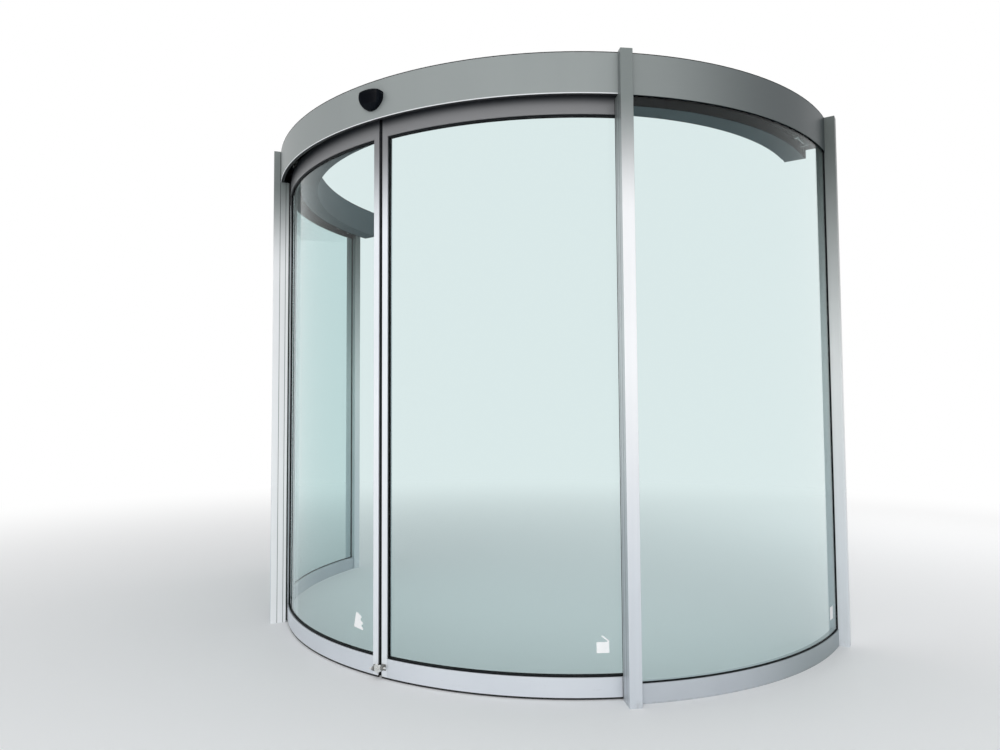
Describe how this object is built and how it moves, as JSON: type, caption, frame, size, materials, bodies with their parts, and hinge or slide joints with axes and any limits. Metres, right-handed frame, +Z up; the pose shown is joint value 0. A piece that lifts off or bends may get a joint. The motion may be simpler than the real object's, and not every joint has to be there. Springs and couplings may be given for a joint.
{
  "type": "curved sliding door",
  "caption": "Half-round glass entrance: curved sliding leaves run on a curved rail behind curved fixed panels, between posts, header and wall jambs.",
  "frame": {"origin": "middle of the object's box, on the floor", "axes": "+X to the right as seen from outside, +Y towards the wall, +Z up"},
  "size_m": [3.85, 1.853, 3],
  "materials": {
    "profile": "satin silver",
    "cladding": "satin silver-grey",
    "rail_metal": "mill finish",
    "clear_glass": "clear, slightly green",
    "black_rubber": "matte",
    "black_brush": "brush pile",
    "sensor_plastic": "gloss",
    "steel": "zinc plated",
    "lock_metal": "polished"
  },
  "bodies": {
    "frame": {"fascia_centre": "cladding", "fascia_left": "cladding", "fascia_right": "cladding", "fixed_gaskets": "black_rubber", "fixed_glass_left": "clear_glass", "fixed_glass_right": "clear_glass", "fixed_rail_left": "profile", "fixed_rail_right": "profile", "floor_guides": "steel", "header_ends": "cladding", "header_roof": "cladding", "inner_fascia": "cladding", "inner_soffit": "cladding", "jamb_left": "profile", "jamb_right": "profile", "motion_sensor": "sensor_plastic", "post_brushes": "black_brush", "post_cover_left": "profile", "post_cover_right": "profile", "post_left": "profile", "post_right": "profile", "track_beam": "rail_metal", "track_stops": "steel"},
    "leaf_left": {"left_bottom_rail": "profile", "left_carriages": "steel", "left_floor_brush": "black_brush", "left_gasket": "black_rubber", "left_glass": "clear_glass", "left_lock_eye": "lock_metal", "left_meeting_seal": "black_rubber", "left_meeting_stile": "profile", "left_rear_stile": "profile", "left_top_rail": "profile", "padlock": "lock_metal"},
    "leaf_right": {"right_bottom_rail": "profile", "right_carriages": "steel", "right_floor_brush": "black_brush", "right_gasket": "black_rubber", "right_glass": "clear_glass", "right_lock_eye": "lock_metal", "right_meeting_seal": "black_rubber", "right_meeting_stile": "profile", "right_rear_stile": "profile", "right_top_rail": "profile"}
  },
  "joints": [
    {"name": "leaf_left_travel", "type": "hinge", "parent": "frame", "child": "leaf_left", "pos_m": [0, 0.9845, 0], "axis": [0, 0, -1], "range_deg": [0, 36.5]},
    {"name": "leaf_right_travel", "type": "hinge", "parent": "frame", "child": "leaf_right", "pos_m": [0, 0.9845, 0], "axis": [0, 0, 1], "range_deg": [0, 36.5]}
  ],
  "couplings": [
    {"joint": "leaf_right_travel", "follows": "leaf_left_travel", "ratio": 1}
  ]
}
